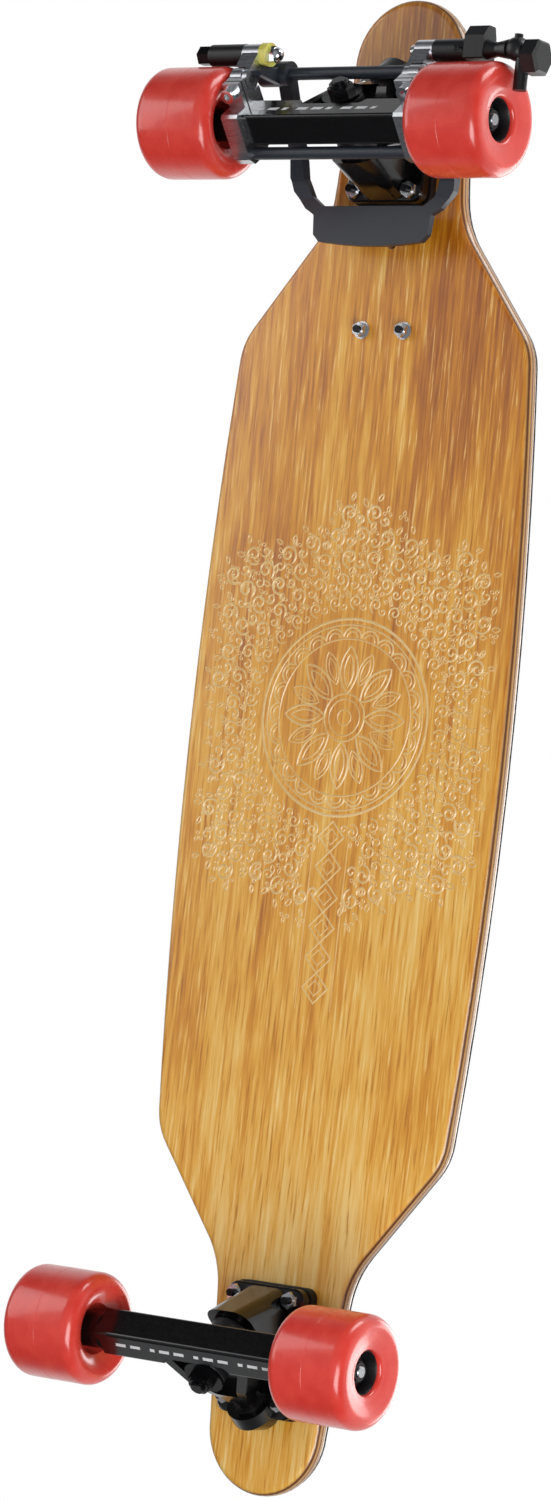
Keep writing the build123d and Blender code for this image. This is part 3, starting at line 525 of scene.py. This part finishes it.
# column of lozenges towards the nose, between two thin rails
for i in range(column["count"]):
    x = column["start"] + column["step"] * i
    for length, wide, line in ((9.6, 9.5, 2.0), (5.0, 5.0, 1.5)):
        centreParts.append(rib([(x + length, 0), (x, wide), (x - length, 0), (x, -wide)], line, h, True))
for side in (-1, 1):
    y = side * column["railAt"]
    centreParts.append(rib([(column["railFrom"], y), (column["railTo"], y)], 1.4, 0.4))
carving = laidOnBelly(*joined(field + centreParts), ornament["x"])
addPiece("belly_engraving", *carving, "engraved_line", "board", "deck_wood")
for motif in [m for m, _ in motifs] + [budMotif, petalLong, petalWide]:
    bpy.data.objects.remove(motif)
print("engraving", len(carving[1]), "faces")

# dashes printed on the hanger's lower outer face
truck = {"axleX": 376.5, "axleZ": 35, "slope": math.radians(40.0)}
dashSizes = {"faceU": 10.5, "proud": 0.12, "sunk": 0.3, "low": -3.4, "high": -0.6, "frontReach": 62.0,
             "rearReach": 54.0, "step": 11.0, "long": 7.5, "short": 3.5, "lean": 1}


def steerPlace(u, w, y, end):
    # a point of the truck's slanted frame, in the row frame
    across, rise = math.cos(truck["slope"]), math.sin(truck["slope"])
    x = u * across + w * rise
    z = truck["axleZ"] + w * across - u * rise
    return Vector((end * (truck["axleX"] + x), end * y, z)) * mm


for name, end, reach in (("front", 1, dashSizes["frontReach"]), ("rear", -1, dashSizes["rearReach"])):
    vertices, faces = [], []
    count = int(2 * reach / dashSizes["step"])
    for i in range(count):
        start = -reach + i * dashSizes["step"]
        length = dashSizes["long"] if i % 3 < 2 else dashSizes["short"]
        lean = dashSizes["lean"]
        u0, u1 = dashSizes["faceU"] - dashSizes["sunk"], dashSizes["faceU"] + dashSizes["proud"]
        base = len(vertices)
        for u in (u0, u1):
            for w0, y0 in ((dashSizes["low"], start), (dashSizes["low"], start + length),
                           (dashSizes["high"], start + length + lean), (dashSizes["high"], start + lean)):
                vertices.append(steerPlace(u, w0, y0, end))
        faces += [tuple(base + k for k in f) for f in
                  ((4, 5, 6, 7), (3, 2, 1, 0), (0, 1, 5, 4), (1, 2, 6, 5), (2, 3, 7, 6), (3, 0, 4, 7))]
    addPiece(f"{name}_hanger_dashes", vertices, faces, "screen_print", f"{name}_truck", "bracket_aluminium", 20.0)
print("dashes done")


# lights, world, floor and camera
def newLight(name, place, target, size, energy):
    data = bpy.data.lights.new(name, "AREA")
    data.shape = "RECTANGLE"
    data.size, data.size_y = size
    data.energy = energy
    light = bpy.data.objects.new(name, data)
    bpy.context.scene.collection.objects.link(light)
    light.location = place
    light.rotation_euler = (Vector(target) - Vector(place)).to_track_quat("-Z", "Y").to_euler()


lights = [
    ("key", (0.9, -1.6, -1.5), (0, 0, 0.1), (1.6, 1.2), 42.0),
    ("fill", (-0.6, 1.8, -1.2), (0, 0, 0.1), (1.8, 1.4), 18.0),
    ("rim", (-1.6, -0.9, 0.5), (-0.3, 0, 0.08), (0.6, 1.2), 14.0),
    ("top", (0.3, -0.4, 2.2), (0, 0, 0.1), (1.6, 1.6), 24.0),
]
for entry in lights:
    newLight(*entry)

world = bpy.data.worlds.new("studio")
bpy.context.scene.world = world
world.use_nodes = True
sky = world.node_tree
sky.nodes.clear()
way = addNode(sky, "ShaderNodeTexCoord")
parts = addNode(sky, "ShaderNodeSeparateXYZ", None, {"Vector": (way, "Generated")})
lift = addNode(sky, "ShaderNodeMapRange", {"From Min": -1.0, "From Max": 1.0}, {"Value": (parts, "Z")})
band = ramp(sky, [(0.0, "#A8A8AA"), (0.22, "#6E6F72"), (0.42, "#2C2D30"), (0.58, "#86888B"), (0.72, "#F2F2F2")],
            lift, "Result")
glow = addNode(sky, "ShaderNodeBackground", {"Strength": 1.0}, {"Color": (band, "Color")})
paper = addNode(sky, "ShaderNodeBackground", {"Color": (1, 1, 1, 1)})
ray = addNode(sky, "ShaderNodeLightPath")
backdrop = addNode(sky, "ShaderNodeMixShader", None,
                   {0: (ray, "Is Camera Ray"), 1: (glow, "Background"), 2: (paper, "Background")})
addNode(sky, "ShaderNodeOutputWorld", None, {"Surface": (backdrop, 0)})

floorMaterial, floorTree, floorShader = newMaterial("studio_floor")
floorShader.inputs["Base Color"].default_value = linear("#E9E9EA")
floorShader.inputs["Roughness"].default_value = 0.8
side = addNode(floorTree, "ShaderNodeNewGeometry")
clear = addNode(floorTree, "ShaderNodeBsdfTransparent")
both = addNode(floorTree, "ShaderNodeMixShader", None, {0: (side, "Backfacing"), 1: (floorShader, 0), 2: (clear, 0)})
floorOutput = [n for n in floorTree.nodes if n.type == "OUTPUT_MATERIAL"][0]
floorTree.links.new(both.outputs[0], floorOutput.inputs["Surface"])
floorMesh = bpy.data.meshes.new("floor")
floorMesh.from_pydata([(-3, -3, -0.0005), (3, -3, -0.0005), (3, 3, -0.0005), (-3, 3, -0.0005)], [], [(0, 1, 2, 3)])
floorMesh.materials.append(floorMaterial)
floor = bpy.data.objects.new("floor", floorMesh)
bpy.context.scene.collection.objects.link(floor)
floor.visible_shadow = False
floor.visible_diffuse = False
floor.visible_glossy = False

view = {"place": (0.14268, -1.72786, -2.40936), "target": (0.00708, 0.04945, 0.1185), "roll": 99.73, "lens": 117.7}
cameraData = bpy.data.cameras.new("camera")
cameraData.lens = view["lens"]
cameraData.sensor_width = 36.0
cameraData.clip_end = 50.0
camera = bpy.data.objects.new("camera", cameraData)
bpy.context.scene.collection.objects.link(camera)
aim = (Vector(view["target"]) - Vector(view["place"])).to_track_quat("-Z", "Y").to_matrix().to_4x4()
camera.matrix_world = Matrix.Translation(view["place"]) @ aim @ Matrix.Rotation(math.radians(view["roll"]), 4, "Z")
bpy.context.scene.camera = camera
bpy.context.scene.view_settings.view_transform = "Standard"

print("scene ready")
